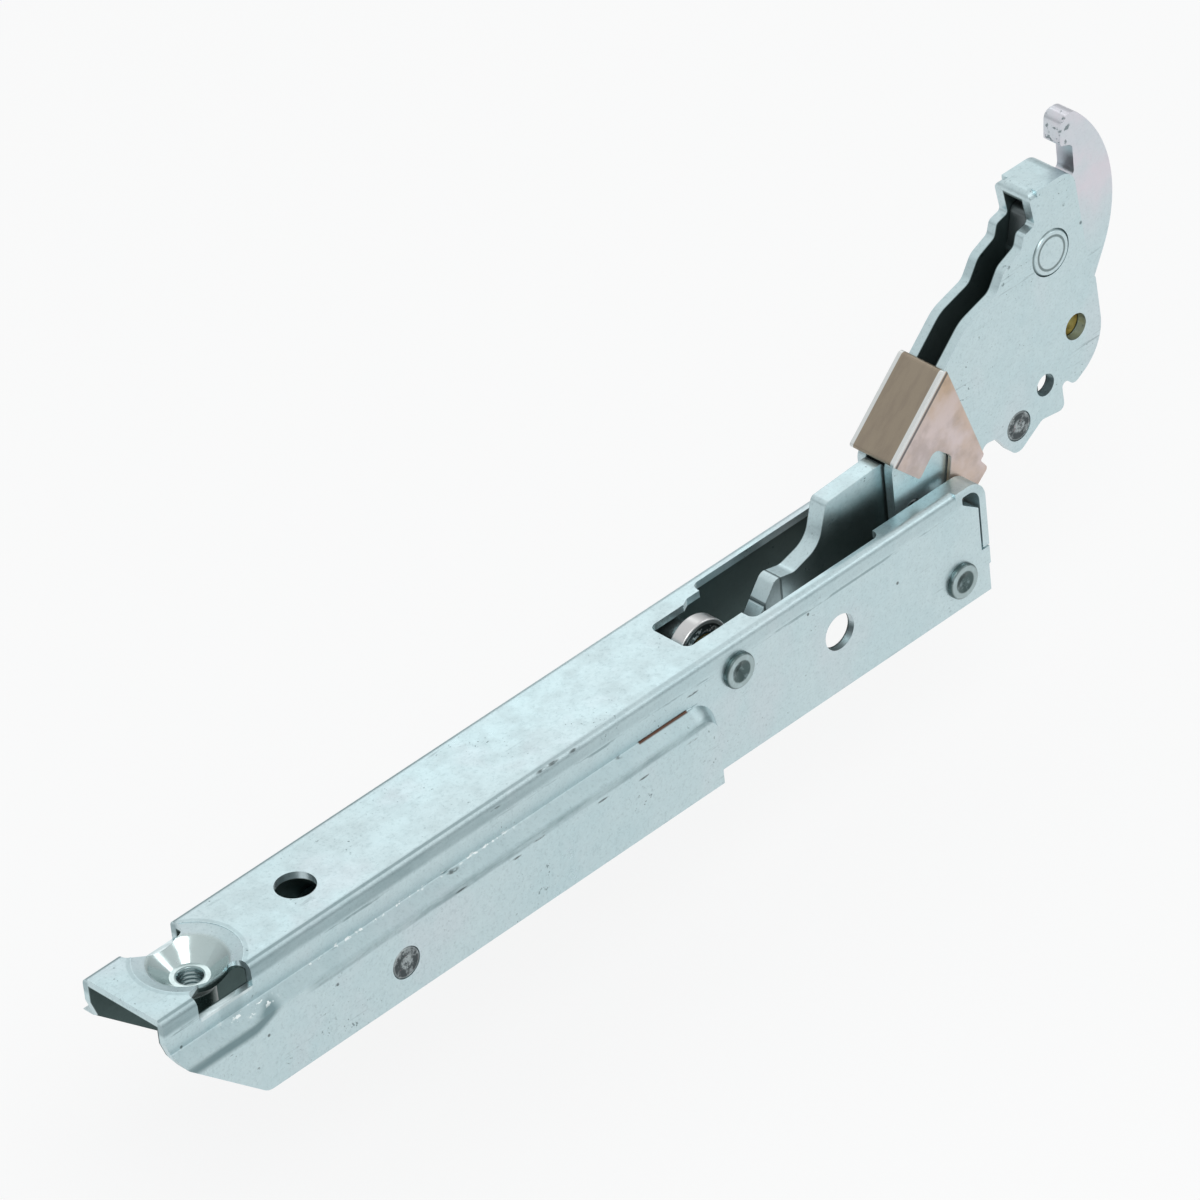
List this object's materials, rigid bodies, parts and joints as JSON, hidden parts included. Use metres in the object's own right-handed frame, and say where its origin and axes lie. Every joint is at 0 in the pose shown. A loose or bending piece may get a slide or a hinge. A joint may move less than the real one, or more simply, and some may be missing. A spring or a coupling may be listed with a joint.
{
  "type": "oven door hinge",
  "caption": "Spring-loaded oven door hinge: formed steel channel with a roller, a cam link and a swinging lever that hooks into the oven frame.",
  "frame": {"origin": "middle of the hinge's footprint, on the plane of the channel's open edge", "axes": "+X along the channel towards the lever and hook, +Y across the channel, +Z from the open edge to the web"},
  "size_m": [0.2318, 0.0246, 0.0757],
  "materials": {
    "zinc_plate": "satin pale zinc plate with fine specks",
    "bright_steel": "turned steel",
    "dark_steel": "dark oiled steel",
    "bronze_steel": "bronze tinted plate",
    "yellow_zinc": "yellow passivated zinc",
    "spring_steel": "oiled spring wire"
  },
  "bodies": {
    "channel": {"door_channel": "zinc_plate", "main_axle": "bright_steel", "axle_spacer_near": "bright_steel", "axle_spacer_far": "bright_steel", "roller_axle": "bright_steel", "roller_spacer_near": "bright_steel", "roller_spacer_far": "bright_steel", "spring_anchor_pin": "dark_steel", "anchor_sleeve_near": "bright_steel", "anchor_sleeve_far": "bright_steel", "tension_spring": "spring_steel"},
    "roller": {"roller": "bright_steel", "roller_bush": "yellow_zinc"},
    "lever": {"lever_bracket": "zinc_plate", "hook_plate": "zinc_plate", "hook_rivet": "bright_steel", "stop_pin": "dark_steel", "link_pin": "dark_steel", "lock_bush": "yellow_zinc", "pivot_bush": "yellow_zinc"},
    "link": {"cam_link": "zinc_plate"},
    "shackle": {"shackle_plate_near": "zinc_plate", "shackle_plate_far": "zinc_plate", "shackle_front_pin": "dark_steel", "shackle_rear_pin": "dark_steel"},
    "lock_clip": {"lock_clip": "bronze_steel"}
  },
  "joints": [
    {"name": "lever_hinge", "type": "hinge", "parent": "channel", "child": "lever", "pos_m": [0.06585, 0, 0.0057], "axis": [0, 1, 0], "range_deg": [0, 70], "stiffness_Nm_per_rad": 0.6, "springref_deg": -22.92},
    {"name": "link_hinge", "type": "hinge", "parent": "lever", "child": "link", "pos_m": [0.06135, 0, 0.0203], "axis": [0, 1, 0], "range_deg": [-67, 0.5]},
    {"name": "shackle_slide", "type": "slide", "parent": "channel", "child": "shackle", "axis": [1, 0, 0], "range_m": [0, 0.0165], "deforming": ["tension_spring"]},
    {"name": "roller_spin", "type": "hinge", "parent": "channel", "child": "roller", "pos_m": [0.01335, 0, 0.0176], "axis": [0, 1, 0], "continuous": true},
    {"name": "clip_hinge", "type": "hinge", "parent": "lever", "child": "lock_clip", "pos_m": [0.06585, 0, 0.0057], "axis": [0, 1, 0], "range_deg": [-4, 0], "stiffness_Nm_per_rad": 0.02, "springref_deg": 17.19}
  ],
  "couplings": [
    {"joint": "link_hinge", "follows": "lever_hinge", "ratio": -0.941},
    {"joint": "shackle_slide", "follows": "lever_hinge", "m_per_rad": 0.013145}
  ]
}
